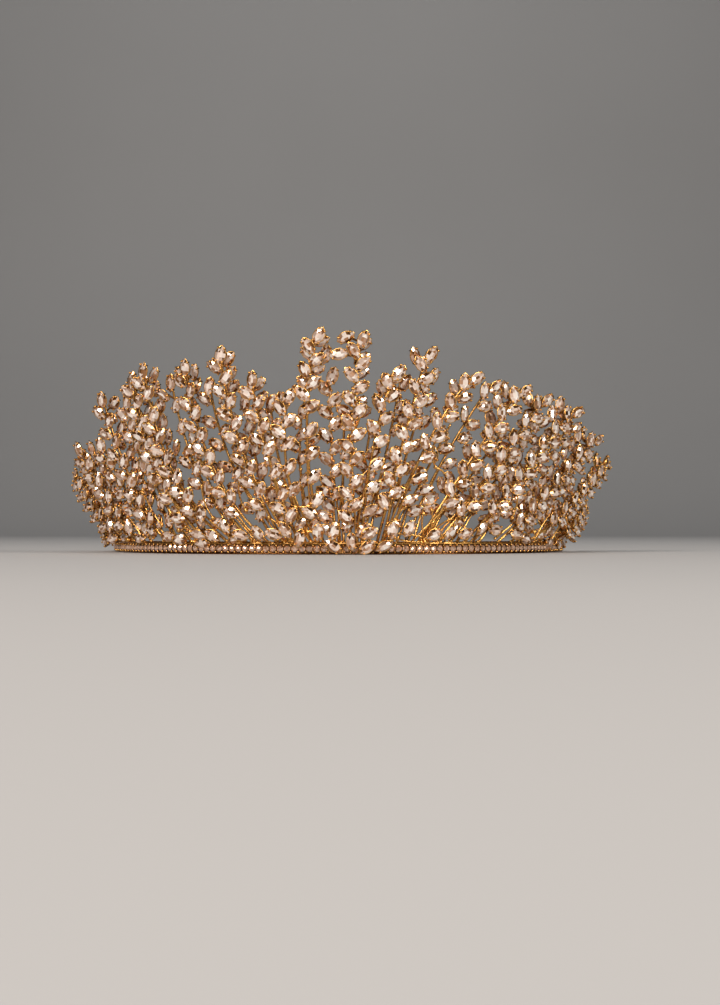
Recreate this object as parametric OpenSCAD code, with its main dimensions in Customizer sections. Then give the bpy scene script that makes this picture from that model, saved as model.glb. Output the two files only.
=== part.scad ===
// Wedding tiara: a round band that is open at the back, with a row of set stones on
// its face, carries sprigs of marquise stones that fan out from its upper edge.
// Millimetres. Origin at the middle of the band's circle, on the face that it stands on.
// +Z up, the front of the tiara faces -Y. Angles go round the band from the front middle.

/* [Band] */
// Outer radius of the band
band_r = 70; // [60:0.5:80]
// Height of the band's front stretch
band_h = 3.2; // [2.8:0.1:4]
// Thickness of the band's front stretch
band_t = 1.4; // [1.2:0.1:2]
// Angle from the front middle to where the set stretch ends
band_half_deg = 97; // [90:1:110]
// Height of the plain strips that carry the band on round the head
strip_h = 2; // [1.6:0.1:2.8]
// Thickness of the plain strips
strip_t = 0.9; // [0.8:0.1:1.2]
// Angle from the front middle to the ends of the strips
strip_half_deg = 135; // [120:1:150]
// Height of the lower rim under the row of small stones
lower_rim = 0.45; // [0.4:0.05:1]
// Height of the upper rim over the row of small stones
upper_rim = 0.45; // [0.4:0.05:0.8]
// Depth of the channel that the small stones sit in
channel_depth = 0.4; // [0.2:0.05:0.6]
// Thickness of the wire along the upper edge, where the sprigs are soldered on
rail_d = 0.9; // [0.7:0.1:1.2]

/* [Sprays] */
// Outward lean of the sprays at the front, in degrees from upright
front_lean = 11; // [6:1:16]
// Outward lean of the sprays at the sides, in degrees from upright
side_lean = 25; // [16:1:28]
// Thickness of a sprig's wire
stem_d = 0.84; // [0.7:0.02:1]
// Distance from one leaf of a sprig to the next, along its wire
leaf_pitch = 3.2; // [3.1:0.1:3.8]
// Angle between a leaf and its wire
leaf_deg = 44; // [36:1:48]
// Distance of a leaf's middle from its wire
leaf_off = 1.4; // [1.2:0.05:1.5]

/* [Stones] */
// Length of a marquise stone
stone_l = 4.9; // [4.6:0.1:5]
// Width of a marquise stone
stone_w = 2.6; // [2.4:0.1:2.7]
// Height of the crown, from the girdle to the table
crown_h = 0.55; // [0.4:0.05:0.7]
// Depth of the pavilion, from the girdle to the culet
pavilion_h = 0.95; // [0.7:0.05:1]
// Gap between a stone and its setting
seat_gap = 0.12; // [0.1:0.01:0.2]

/* [Hidden] */

// How far the stones' girdles and the wires lie outside the leaning wall of the sprays
girdle_out = 1.1;
stem_out = -band_t / 2;
// The same for the cluster's girdles, and for the feet of its settings inside the band
cluster_out = 2.35;
cluster_foot = -1.2;
// The share of a wire's length in which it comes out from the rail to the wall
foot_share = 0.2;
// How far the rear sprigs lie behind the front ones, and the share of a rear wire's
// length in which it steps back
rear_step = 3.1;
rear_share = 0.25;
// The last leaf of a sprig: its turn from the wire, and its share of leaf_off
tip_turn = 18;
tip_off = 0.6;
// How far the sprigs at the sides are twisted towards the front: the share of the front's
// way in their own outward way at the full twist
face_front = 1.2;
// Irregularity of the handwork, in degrees: a leaf's turn on the wall and its two tilts
turn_play = 6;
roll_play = 12;
pitch_play = 8;
// Room kept between two stones, and the discs that stand for a stone in that test:
// how far along the stone each one lies, and its radius
stone_room = 0.15;
discs = [[0, 1.3], [1.35, 0.9], [-1.35, 0.9], [2.1, 0.4], [-2.1, 0.4]];
// Where the wires start, inside the upper edge of the band, how far they run on past
// their last leaf, and the length of their straight stretches
stem_foot_z = band_h - 0.3;
stem_over = 0.4;
stem_seg = 7;
// How far the rounded ends and the rail stay inside the faces of what carries them, and
// how far the strips reach into the band, in degrees
end_shy = 0.05;
strip_lap = 1.5;
// Fineness of the round band, in degrees for each flat
band_step = 4.5;

// The sprigs from the left of the view to the right, each a bent wire that passes
// through a foot, a middle and a tip. Angles are in degrees round the band and heights
// in millimetres over the floor. proud is how far the tip stands out from the wall, and
// bare is the length of wire at the foot that has no leaves.
// The front sprigs carry their stones. The rear ones are bare wires here, because their
// stones are too fine and too many for solids of their own.
// Columns: foot_deg, mid_deg, mid_z, tip_deg, tip_z, proud, bare
front_sprigs = [
    [-78, -88, 5.5, -100, 6.5, 2.5, 11],
    [-66, -78, 12, -92, 25, 2, 10],
    [-57, -66, 15, -75, 32, 0, 11],
    [-45, -54.5, 21, -58.5, 46.5, 0, 15],
    [-32, -44, 25, -47.5, 51.5, 0, 15],
    [-26, -39.5, 24, -43.7, 53.5, 0, 14],
    [-16, -28, 24, -32.2, 53.5, 0, 12],
    [-12.5, -20.8, 29, -23.8, 56.5, 0, 15],
    [-9, -14.5, 24, -17.8, 49.5, 0, 11],
    [-6, -11, 22, -10, 45, 0, 12],
    [-3.5, -6.6, 30, -4, 61, 0, 8],
    [2.5, 2.6, 30, 4, 60, 0, 8],
    [5, 7.2, 30, 11.5, 51.5, 0, 13],
    [8.5, 12.8, 28, 17.5, 56.5, 0, 11],
    [11.5, 17.8, 28, 28.5, 50.5, 0, 15],
    [18, 28.5, 24.5, 41.3, 47.8, 0, 14],
    [23, 35, 23, 48.8, 45.8, 0, 14],
    [30, 44, 22, 59.5, 43, 0, 15],
    [40, 56, 18.5, 71, 35.5, 0, 13],
    [52, 67, 13.5, 88, 29, 1, 16],
    [66, 79, 8, 94, 15, 1.5, 14],
];
rear_sprigs = [
    [-83, -91, 4.7, -101, 5, 2.5, 3],
    [-72, -83, 9, -96, 16, 2, 4],
    [-61, -72, 13, -83, 29, 0, 4],
    [-51, -61, 15, -68, 32.5, 0, 4],
    [-40, -51, 20, -53.5, 45, 0, 4],
    [-36, -47.5, 16, -51, 37, 0, 4],
    [-29, -40, 17, -42.5, 39, 0, 4],
    [-23, -34, 22, -38.5, 49.5, 0, 4],
    [-19, -29.5, 15, -34, 35, 0, 4],
    [-14, -24.5, 24, -28.3, 48, 0, 6],
    [-10, -17.5, 20, -20.5, 43, 0, 4],
    [-7.5, -13, 23, -14.5, 43, 0, 8],
    [-5, -8.5, 20, -7.5, 41, 0, 4],
    [-1, -1.6, 26, -2, 50, 0, 4],
    [1, 0.8, 20, 1.2, 40, 0, 4],
    [4, 5, 18, 7, 36, 0, 4],
    [6.5, 10, 25, 13, 48.5, 0, 4],
    [9.5, 15, 27, 19, 50.5, 0, 6],
    [13, 19, 20, 25.5, 37, 0, 4],
    [15.5, 24, 26, 35, 48.3, 0, 6],
    [20, 30, 19, 41.5, 37, 0, 4],
    [26, 39, 20, 52, 39.5, 0, 5],
    [34, 49, 20, 64.5, 38, 0, 5],
    [45, 60, 16, 76, 29, 0, 4],
    [58, 72, 10.5, 88, 20, 1, 4],
    [73, 85, 6, 98, 8.5, 2.5, 3],
];

// The stones of the front cluster, which is soldered on the band's face.
// Columns: deg, z, turn, where turn is the stone's angle from upright
cluster = [
    [-8.5, 4.9, 12],
    [-7.4, 2.1, -64],
    [-4.5, 6.6, 4],
    [-4.5, 2.4, -66],
    [-1.2, 6.9, 14],
    [-1.2, 2.7, -52],
    [2.6, 4.1, -4],
    [6.3, 6.3, 62],
    [6, 2.5, 50],
    [9.7, 2.8, 64],
    [11.3, 7.1, 8],
];

// The leaning wall of the sprays: its lean, its directions and a place on it
function smooth(x) = let (c = max(0, min(1, x))) c * c * (3 - 2 * c);
function lean(deg) = front_lean + (side_lean - front_lean) * smooth((abs(deg) - 45) / 45);
function radial(deg) = [sin(deg), -cos(deg), 0];
function outward(deg) = cos(lean(deg)) * radial(deg) - [0, 0, sin(lean(deg))];
function up_wall(deg) = sin(lean(deg)) * radial(deg) + [0, 0, cos(lean(deg))];
function on_wall(deg, z, out) =
    (band_r + z * tan(lean(deg))) * radial(deg) + [0, 0, z] + out * outward(deg);

// A sprig's wire: the bend through foot, middle and tip, its length and its places
function bend(a, m, b, t) = (1 - t) * (1 - t) * a + 2 * t * (1 - t) * (2 * m - (a + b) / 2) + t * t * b;
function wire_deg(s, t) = bend(s[0], s[1], s[3], t);
function wire_z(s, t) = bend(stem_foot_z, s[2], s[4], t);
function wire_at(s, t, out, back = 0) =
    let (deg = wire_deg(s, t))
    on_wall(deg, wire_z(s, t), out + s[5] * t * t - back * smooth(t / rear_share))
        - band_h * tan(lean(deg)) * (1 - smooth(t / foot_share)) * radial(deg);
function wire_lengths(s, n = 24, i = 0, sum = 0) =
    i == n ? [[sum, 1]] :
    concat([[sum, i / n]], wire_lengths(s, n, i + 1,
        sum + norm(wire_at(s, (i + 1) / n, stem_out) - wire_at(s, i / n, stem_out))));
function wire_way(s, t) = unit(wire_at(s, min(1, t + 0.01), 0) - wire_at(s, max(0, t - 0.01), 0));
function unit(v) = v / norm(v);

// A sprig's own outward way, square to its wire
function sprig_out(deg, way) =
    let (v = outward(deg) - face_front * smooth((abs(deg) - 15) / 60) * [0, 1, 0])
    unit(v - (v * way) * way);

// A stone's place: [middle, long way, short way, out way, seat foot]
function turned(out, way, turn) = cos(turn) * way + sin(turn) * unit(cross(way, out));
function placed(middle, out, way, foot, mark) =
    let (
        pitch = pitch_play * sin(mark * 61),
        roll = roll_play * sin(mark * 47),
        long = cos(pitch) * way + sin(pitch) * out,
        flat = unit(cross(out, way)),
        short = unit(cos(roll) * flat + sin(roll) * cross(long, flat))
    )
    [middle, long, short, cross(long, short), foot];
function leaf(s, k, length, table) =
    let (
        along = length - stone_l / 2 - k * leaf_pitch,
        t = lookup(along, table),
        way = wire_way(s, t),
        out = sprig_out(wire_deg(s, t), way),
        side = k % 2 == 0 ? 1 : -1,
        mark = s[0] + 3 * k,
        turn = k == 0 ? tip_turn : side * leaf_deg + turn_play * sin(mark * 83),
        aside = side * leaf_off * (k == 0 ? tip_off : 1),
        foot = wire_at(s, t, stem_out)
    )
    placed(foot + (girdle_out - stem_out) * out + aside * unit(cross(way, out)), out,
        turned(out, way, turn), foot, mark);
function leaves(s) =
    let (table = wire_lengths(s), length = table[len(table) - 1][0])
    [for (k = [0 : floor((length - stone_l / 2 - s[6]) / leaf_pitch)]) leaf(s, k, length, table)];
function cluster_leaf(c) =
    placed(on_wall(c[0], c[1], cluster_out), outward(c[0]), turned(outward(c[0]), up_wall(c[0]), c[2]),
        on_wall(c[0], max(1, min(band_h - 0.4, c[1])), cluster_foot), c[0]);

// A leaf is left off where an earlier one already fills its place
function apart(p, q) =
    norm(p[0] - q[0]) > stone_l + stone_room ? true :
    min([
        for (a = discs, b = discs)
            norm(p[0] + a[0] * p[1] - q[0] - b[0] * q[1]) - a[1] - b[1]
    ]) > stone_room;
function fits(all, i, j = 0) =
    j == i ? true :
    apart(all[i], all[j]) ? fits(all, i, j + 1) : false;
all_places = concat([for (c = cluster) cluster_leaf(c)], [for (s = front_sprigs) each leaves(s)]);
places = [for (i = [0 : len(all_places) - 1]) if (fits(all_places, i)) all_places[i]];

// A marquise stone: pointed girdle, four-cornered table, culet
girdle = [[0.5, 0], [0.22, 0.5], [-0.22, 0.5], [-0.5, 0], [-0.22, -0.5], [0.22, -0.5]];
table_cut = [[0.3, 0], [0, 0.3], [-0.3, 0], [0, -0.3]];
function stone_points(p) = [
    for (g = girdle) p[0] + g[0] * stone_l * p[1] + g[1] * stone_w * p[2],
    for (g = table_cut) p[0] + g[0] * stone_l * p[1] + g[1] * stone_w * p[2] + crown_h * p[3],
    p[0] - pavilion_h * p[3],
];
stone_faces = [
    [8, 7, 6], [9, 8, 6],
    [5, 6, 0], [6, 1, 0], [6, 7, 1], [7, 2, 1], [7, 8, 2], [8, 3, 2],
    [8, 4, 3], [8, 9, 4], [9, 5, 4], [9, 6, 5],
    [0, 1, 10], [1, 2, 10], [2, 3, 10], [3, 4, 10], [4, 5, 10], [5, 0, 10],
];

module stones() {
    color([0.93, 0.87, 0.86])
    polyhedron(
        points = [for (p = places) each stone_points(p)],
        faces = [for (i = [0 : len(places) - 1], f = stone_faces) [for (v = f) v + 11 * i]]
    );
}

// A setting: a pointed seat plate under the stone that narrows to its wire
module setting(p) {
    seat = p[0] - (pavilion_h + seat_gap) * p[3];
    hull()
        polyhedron(
            points = [seat + stone_l * 0.5 * p[1], seat + stone_w * 0.45 * p[2],
                      seat - stone_l * 0.5 * p[1], seat - stone_w * 0.45 * p[2], p[4]],
            faces = [[2, 1, 0], [3, 2, 0], [0, 1, 4], [1, 2, 4], [2, 3, 4], [3, 0, 4]]
        );
}

// A sprig's bare wire, square in section, swept along its bend
module wire(s, back = 0) {
    table = wire_lengths(s);
    length = table[len(table) - 1][0] - stone_l / 2 + stem_over;
    n = ceil(length / stem_seg);
    rings = [
        for (i = [0 : n])
            let (
                t = lookup(length * i / n, table),
                way = wire_way(s, t),
                out = outward(wire_deg(s, t)),
                across = unit(cross(way, out)),
                level = unit(cross(across, way))
            )
            for (q = [0 : 3])
                wire_at(s, t, stem_out, back) + stem_d / 2 * (cos(90 * q) * across + sin(90 * q) * level)
    ];
    sides = [
        for (i = [0 : n - 1], q = [0 : 3])
            let (a = 4 * i + q, b = 4 * i + (q + 1) % 4)
            each [[b, a + 4, a], [b + 4, a + 4, b]]
    ];
    polyhedron(points = rings, faces = concat([[2, 1, 0], [3, 2, 0]], sides,
        [[4 * n + 1, 4 * n + 2, 4 * n], [4 * n + 2, 4 * n + 3, 4 * n]]));
}

// The band in section, with the channel for the small stones in its outer face
module band_section() {
    polygon([
        [band_r - band_t, 0], [band_r, 0], [band_r, lower_rim], [band_r - channel_depth, lower_rim],
        [band_r - channel_depth, band_h - upper_rim], [band_r, band_h - upper_rim],
        [band_r, band_h], [band_r - band_t, band_h],
    ]);
}

module round_sweep(from_deg, to_deg) {
    rotate([0, 0, from_deg - 90])
        rotate_extrude(angle = to_deg - from_deg, $fn = 360 / band_step)
            children();
}

// A rounded end, as a short round pin that lies along the radius, a hair inside the
// faces of the stretch that it ends
module end_pin(deg, height, thick, outer_r) {
    rotate([0, 0, deg])
        translate([0, end_shy - outer_r, height / 2])
            rotate([-90, 0, 0])
                cylinder(h = thick - 2 * end_shy, d = height - 2 * end_shy, $fn = 12);
}

module frame() {
    color([0.80, 0.56, 0.26]) {
        round_sweep(-band_half_deg, band_half_deg) band_section();
        round_sweep(end_shy - band_half_deg, band_half_deg - end_shy)
            translate([band_r - band_t / 2, band_h - end_shy])
                circle(d = rail_d, $fn = 6);
        for (side = [-1, 1]) {
            round_sweep(
                side < 0 ? -strip_half_deg : band_half_deg - strip_lap,
                side < 0 ? strip_lap - band_half_deg : strip_half_deg
            )
                translate([band_r - (band_t + strip_t) / 2, 0])
                    square([strip_t, strip_h]);
            end_pin(side * band_half_deg, band_h, band_t, band_r);
            end_pin(side * strip_half_deg, strip_h, strip_t, band_r - (band_t - strip_t) / 2);
        }
        for (s = front_sprigs) wire(s);
        for (s = rear_sprigs) wire(s, rear_step);
        for (p = places) setting(p);
    }
}

frame();
stones();
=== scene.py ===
"""Tiara with sprigs of marquise stones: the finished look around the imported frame.

Sizes in the tables and functions are millimetres and degrees round the band, counted from
the front middle. Meshes are made in metres. +Z is up and the tiara's front faces -Y.
"""
import functools
import math
from collections import namedtuple

import bpy
import numpy as np
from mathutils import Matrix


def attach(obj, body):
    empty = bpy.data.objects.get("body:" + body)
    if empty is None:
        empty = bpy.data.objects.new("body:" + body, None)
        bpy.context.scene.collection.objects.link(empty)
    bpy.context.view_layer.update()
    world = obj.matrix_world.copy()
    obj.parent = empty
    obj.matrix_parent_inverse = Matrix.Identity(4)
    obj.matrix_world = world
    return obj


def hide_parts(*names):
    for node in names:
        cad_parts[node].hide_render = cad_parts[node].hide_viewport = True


bl_info = {
    "name": "Sprig Tiara",
    "version": (1, 0, 0),
    "blender": (4, 5, 0),
    "location": "View3D > Sidebar > Tiara",
    "description": "Builds a gold tiara with sprigs of marquise stones on a set band",
    "category": "Add Mesh",
}

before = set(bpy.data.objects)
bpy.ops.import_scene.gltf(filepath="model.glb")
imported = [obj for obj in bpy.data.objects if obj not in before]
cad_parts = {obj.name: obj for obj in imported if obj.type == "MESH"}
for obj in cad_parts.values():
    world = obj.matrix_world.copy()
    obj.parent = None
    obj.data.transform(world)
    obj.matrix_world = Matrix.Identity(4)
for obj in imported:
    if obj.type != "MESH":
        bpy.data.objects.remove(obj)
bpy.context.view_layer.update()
MM = 0.001
UP = np.array([0, 0, 1.0])

# The solids' layout, which these pieces follow

# Band: outer radius, height, thickness and half its angle, then its rims and its channel
BAND_R, BAND_H, BAND_T, BAND_HALF = 70.0, 3.2, 1.4, 97.0
LOWER_RIM, UPPER_RIM, CHANNEL = 0.45, 0.45, 0.4
# Strips that carry the band on, and the rail wire along its upper edge
STRIP_H, STRIP_T, STRIP_HALF = 2.0, 0.9, 135.0
RAIL_D, RAIL_Z = 0.9, BAND_H - 0.05
# Lean of the sprigs' wall at the front and the sides, and the degrees where it changes
FRONT_LEAN, SIDE_LEAN, LEAN_FROM, LEAN_OVER = 11.0, 25.0, 45.0, 45.0
# Wires: thickness, way out from the wall, reach past the tip stone's middle, the foot's
# height, the share of the wire in which it leaves the rail, and the steps that measure it
STEM_D, STEM_OUT, STEM_OVER = 0.84, -BAND_T / 2, 0.4
FOOT_Z, FOOT_SHARE, WIRE_STEPS, WAY_STEP = BAND_H - 0.3, 0.2, 25, 0.01
# Rear row: its step back, and the share of the wire that the step takes
REAR_STEP, REAR_SHARE = 3.1, 0.25
# Stones: length, width, heights over and under the girdle, and radius of the outline's arcs
STONE_L, STONE_W, CROWN_H, PAVILION_H = 4.9, 2.6, 0.55, 0.95
HALF_L, HALF_W = STONE_L / 2, STONE_W / 2
ARC_R = (HALF_L ** 2 + HALF_W ** 2) / (2 * HALF_W)
# Stones on a wire: step along it, turn, distance aside, way out, distance down to the
# stalk's foot, and the tip stone's turn and share of the distance aside
LEAF_PITCH, LEAF_DEG, LEAF_OFF, GIRDLE_OUT, LEAF_DROP = 3.2, 44.0, 1.4, 1.1, 1.5
TIP_TURN, TIP_OFF = 18.0, 0.6
# Share of the front's way in what the stones face, and the degrees where it grows
FACE_FRONT, FACE_FROM, FACE_OVER = 1.2, 15.0, 60.0
# Handwork: degrees of a stone's small turn, roll and pitch, how fast the sine of each runs
# with the stone's mark, and the mark's step between stones
TURN_PLAY, ROLL_PLAY, PITCH_PLAY = 6.0, 12.0, 8.0
TURN_RATE, ROLL_RATE, PITCH_RATE = 83, 47, 61
LEAF_MARK, FILL_MARK = 3, 5
# Cluster on the band: way out of its stones and of their stalks' feet, and the height that
# the feet stay under
CLUSTER_OUT, CLUSTER_FOOT, CLUSTER_HIGH = 2.35, -1.2, BAND_H - 0.4
# Least room between two stones, each taken as discs. Columns: place along it, radius
STONE_ROOM = 0.15
DISCS = np.array([[0, 1.3], [1.35, 0.9], [-1.35, 0.9], [2.1, 0.4], [-2.1, 0.4]])

# What only the finished look has

# Stones that follow below the front sprigs' own: the stretch of wire that they take
LOWER_LEAVES = 7.0
# Stones beside each wire in the rear row: step, least room, distances aside, bare lengths at
# tip and foot, distance down to the stalk's foot, turn with its play, and share of the tilts
FILL_PITCH, FILL_ROOM, FILL_OFFS = 1.3, 0.2, (1.3, 2.5)
FILL_TOP, FILL_FOOT, FILL_DROP = 4.0, 4.0, 1.8
FILL_DEG, FILL_PLAY, FILL_RATE, SIDE_PLAY = 48.0, 16.0, 71, 1.8
# A setting's reach from its middle along, across and out, and a clearing's extra room
SETTING_REACH = np.array([2.3, 1.4, 1.05])
CLEAR_ROOM = 0.8
# Finished stones and cups over the solids' size, and the rise of a stone's table, whose
# facets lie within a depth from its top
STONE_SPREAD = np.array([1.05, 1.13, 1.0])
CUP_SPREAD = np.array([1.04, 1.18])
TABLE_RISE, TABLE_DEPTH = 0.06, 0.2
# Shares of foil and painted light: least of a table's facets, which take the painted highlights,
# least and most of the others, and the round stones' least share and their range
TABLE_LOW, CROWN_LOW, CROWN_HIGH = 0.25, 0.1, 0.82
ROUND_LOW, ROUND_RANGE = 0.28, 0.27
# Second wires at the sprigs' feet: share of the first wire and distance from it, their
# radius and the crossing wires', how much thinner a wire is at its tip, and points of a path
SECOND_SHARE, SECOND_OFF = 0.55, 1.5
SECOND_R, CROSS_R, TAPER = 0.3, 0.27, 0.25
PATH_STEPS, CROSS_STEPS = 36, 12
# Solder beads: least and most radius, and least and most stretch of each axis
SOLDER_SIZE, SOLDER_STRETCH = (0.42, 0.72), (0.75, 1.3)
# Rounded corners of the band's and the strips' sections, and the points of each
BAND_CUT, STRIP_CUT, CORNER_STEPS = 0.14, 0.2, 3
# The photograph's lens in pixels: focal length, picture height, its turn aside and up, and
# the camera's place in metres
FOCAL_PX, HEIGHT_PX, ASIDE_PX, RAISE_PX = 1579, 1005, 20.7, 26.5
CAMERA_AT = (0.0, -0.5, 0.007)

# The sprigs' wires on the wall, with the length that is bare at the foot and the way that the
# tip stands proud
Sprig = namedtuple("Sprig", "foot_deg mid_deg mid_z tip_deg tip_z bare proud", defaults=[0])
FRONT_SPRIGS = [Sprig(*row) for row in [
    [-78, -88, 5.5, -100, 6.5, 11, 2.5], [-66, -78, 12, -92, 25, 10, 2],
    [-57, -66, 15, -75, 32, 11], [-45, -54.5, 21, -58.5, 46.5, 15],
    [-32, -44, 25, -47.5, 51.5, 15], [-26, -39.5, 24, -43.7, 53.5, 14],
    [-16, -28, 24, -32.2, 53.5, 12], [-12.5, -20.8, 29, -23.8, 56.5, 15],
    [-9, -14.5, 24, -17.8, 49.5, 11], [-6, -11, 22, -10, 45, 12],
    [-3.5, -6.6, 30, -4, 61, 8], [2.5, 2.6, 30, 4, 60, 8],
    [5, 7.2, 30, 11.5, 51.5, 13], [8.5, 12.8, 28, 17.5, 56.5, 11],
    [11.5, 17.8, 28, 28.5, 50.5, 15], [18, 28.5, 24.5, 41.3, 47.8, 14],
    [23, 35, 23, 48.8, 45.8, 14], [30, 44, 22, 59.5, 43, 15],
    [40, 56, 18.5, 71, 35.5, 13], [52, 67, 13.5, 88, 29, 16, 1],
    [66, 79, 8, 94, 15, 14, 1.5],
]]
REAR_SPRIGS = [Sprig(*row) for row in [
    [-83, -91, 4.7, -101, 5, 3, 2.5], [-72, -83, 9, -96, 16, 4, 2],
    [-61, -72, 13, -83, 29, 4], [-51, -61, 15, -68, 32.5, 4],
    [-40, -51, 20, -53.5, 45, 4], [-36, -47.5, 16, -51, 37, 4],
    [-29, -40, 17, -42.5, 39, 4], [-23, -34, 22, -38.5, 49.5, 4],
    [-19, -29.5, 15, -34, 35, 4], [-14, -24.5, 24, -28.3, 48, 6],
    [-10, -17.5, 20, -20.5, 43, 4], [-7.5, -13, 23, -14.5, 43, 8],
    [-5, -8.5, 20, -7.5, 41, 4], [-1, -1.6, 26, -2, 50, 4],
    [1, 0.8, 20, 1.2, 40, 4], [4, 5, 18, 7, 36, 4],
    [6.5, 10, 25, 13, 48.5, 4], [9.5, 15, 27, 19, 50.5, 6],
    [13, 19, 20, 25.5, 37, 4], [15.5, 24, 26, 35, 48.3, 6],
    [20, 30, 19, 41.5, 37, 4], [26, 39, 20, 52, 39.5, 5],
    [34, 49, 20, 64.5, 38, 5], [45, 60, 16, 76, 29, 4],
    [58, 72, 10.5, 88, 20, 4, 1], [73, 85, 6, 98, 8.5, 3, 2.5],
]]
# Stones of the cluster on the band. Columns: deg, z, turn from upright
CLUSTER = [
    [-8.5, 4.9, 12], [-7.4, 2.1, -64], [-4.5, 6.6, 4],
    [-4.5, 2.4, -66], [-1.2, 6.9, 14], [-1.2, 2.7, -52],
    [2.6, 4.1, -4], [6.3, 6.3, 62], [6, 2.5, 50],
    [9.7, 2.8, 64], [11.3, 7.1, 8],
]
# Single stones between the sprigs' feet, and three between the front tips.
# Columns: deg, z, turn from upright, out, foot_deg, foot_z
SINGLE_STONES = [
    [15.4, 7.3, 30, 0.9, 15, 3.8], [21.3, 5.6, 70, 0.7, 20, 3.2],
    [25.3, 6.2, 40, 0.9, 24.5, 3.2], [29.2, 5.8, 78, 0.7, 28, 3.2],
    [33.5, 7.3, 52, 0.9, 32.5, 3.2], [-11.8, 6.9, -30, 0.9, -11.5, 3.4],
    [-14.5, 5.7, -72, 0.7, -13.5, 3.2], [-18, 6, -40, 0.8, -17.2, 3.2],
    [-22.3, 5.4, -74, 0.7, -21.2, 3.2], [-25.9, 8, -35, 0.9, -25, 4.5],
    [-29.4, 5.3, -60, 0.8, -28.4, 3.2], [-33.4, 5.5, -76, 0.7, -32.4, 3.2],
    [-0.1, 53.6, 80, 0.6, 3.4, 52.8], [-2.6, 53.4, 14, -1.7, -4.9, 52.6],
    [1.2, 58, 62, 0.6, 3.7, 56.8],
]
# Openings between the sprigs, which the rear stones leave clear.
# Columns: deg, z, half width in degrees, half height
CLEARINGS = np.array([
    [4, 8.2, 1, 1.2], [8.3, 8.2, 0.8, 2], [12.8, 11.2, 1.6, 1.6],
    [17.6, 8.6, 1.8, 2.2], [14.6, 4.3, 2.2, 0.6], [23.2, 10.2, 2.4, 2.6],
    [24.2, 15, 1, 0.8], [31, 10, 1.6, 1.4], [24.8, 4, 1, 0.6],
    [34.4, 4.8, 0.8, 0.8], [18, 16.4, 0.7, 1.2], [12, 20.4, 1, 1.2],
    [21.2, 21.8, 1.2, 1.2], [1.6, 17.4, 1, 1], [-9.5, 19.2, 1.2, 1],
    [-8.6, 15.6, 1.4, 1.2], [-14.4, 12, 1.4, 2], [-15.8, 20, 1.2, 2.4],
    [-15.8, 8.4, 1.4, 0.8], [-17.4, 3.9, 1.6, 0.5], [-20.4, 16.8, 1.4, 2],
    [-20.8, 8.4, 1.6, 1.6], [-26.4, 4.1, 1.4, 0.7], [-26.8, 17.2, 1.8, 2],
    [-28.2, 11.8, 0.8, 0.8], [-32.2, 15.4, 0.8, 0.8], [-38.6, 7.2, 1.2, 0.8],
    [-36.6, 4.2, 1.4, 0.7], [-37, 22.6, 0.8, 1], [-9.6, 8.6, 0.5, 1.2],
    [6.5, 30, 1.4, 1.4], [10.6, 32.2, 0.8, 1], [9.4, 37.4, 1.6, 1.4],
    [15, 28, 0.8, 1.2], [15, 32, 0.8, 1], [25, 35.6, 1.8, 1.2],
    [26.6, 28, 1.2, 1.4], [24, 43, 1.2, 1.4], [29, 40, 1.2, 1],
    [31.8, 34.2, 1.4, 1.4], [36.4, 39, 2, 1.2], [41.6, 36, 1.2, 1.8],
    [38.6, 31.8, 1.4, 1], [34, 26.4, 1.2, 0.8], [49.4, 22.8, 1, 1],
    [-9, 40, 1, 0.8], [-12.2, 32.8, 1, 1.4], [-13, 27.2, 0.6, 1.2],
    [-20.4, 37.4, 0.6, 1.4], [-24.6, 27.4, 1.8, 1.8], [-23.2, 32.2, 1.2, 1.2],
    [-27.4, 34, 1.4, 1.2], [-27.2, 39.8, 0.8, 1.4], [-31.4, 25.6, 1.2, 1.6],
    [-36, 31.4, 1.4, 2.4], [-39.2, 36.8, 1.4, 3], [-42.4, 43.6, 1.2, 1.4],
    [-36.6, 44.6, 2, 0.6], [-43, 29.4, 1.6, 2], [-47.8, 34.4, 1.4, 1],
])
# Crossing wires between the sprigs.
# Columns: deg and z at one end, deg and z at the other, bow across the middle
CROSS_WIRES = [
    [25.2, 13.8, 16.6, 3.4, 0.2], [18.8, 11, 20.2, 3.2, 0.9],
    [20.8, 12, 19.8, 3.2, -0.8], [20.2, 4.2, 13.5, 5.5, 0.3],
    [19.8, 3.4, 12.5, 4.4, -0.5], [25.2, 9.5, 18.9, 3.2, 0.5],
    [14.2, 12.8, 9.4, 3.2, 0.4], [30.4, 12.5, 23.5, 3.2, 0.4],
    [41.5, 14.5, 37.2, 12.2, 1], [44, 18.2, 43.6, 10, -0.9],
    [53.2, 6, 47.4, 3.4, 0.5], [57.5, 6.2, 57.6, 3.2, 0.5],
    [60, 12, 53.8, 3.2, 0.8], [70, 10, 63.5, 3.2, 0.8],
    [3.8, 41.5, 1.8, 31.5, -1.6], [6, 33.5, 1.9, 32, -0.6],
    [20.2, 30.5, 20.8, 23.8, 0.8], [23, 22.2, 20.6, 23.6, 0.3],
    [-26.2, 11.8, -20.2, 3.8, 0.1], [-25.3, 12.4, -19.3, 3.8, -0.1],
    [-15.8, 14.2, -10.6, 3.4, 0.3], [-15.6, 10, -11.2, 3.6, -0.7],
    [-22, 20, -20.9, 12, 0.9], [-9.5, 12.8, -5.6, 13.6, 0.3],
    [-9.6, 11.4, -6.4, 3.4, 0.5], [-7, 6, -4.4, 7.2, 0.4],
    [-26.2, 6, -23.4, 3.2, 0.4], [-31.5, 18.8, -29.4, 10, 0.9],
    [-39.8, 6.5, -33, 3.8, -0.3], [-37.6, 7.4, -32.6, 3.4, 0.4],
    [-44.8, 5.6, -42, 3.2, 0.5], [-50.5, 18, -45.5, 8, 0.8],
    [-64.8, 12, -62.5, 3.6, 0.8], [-59.5, 10.5, -54, 3.2, -0.7],
]


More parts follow.
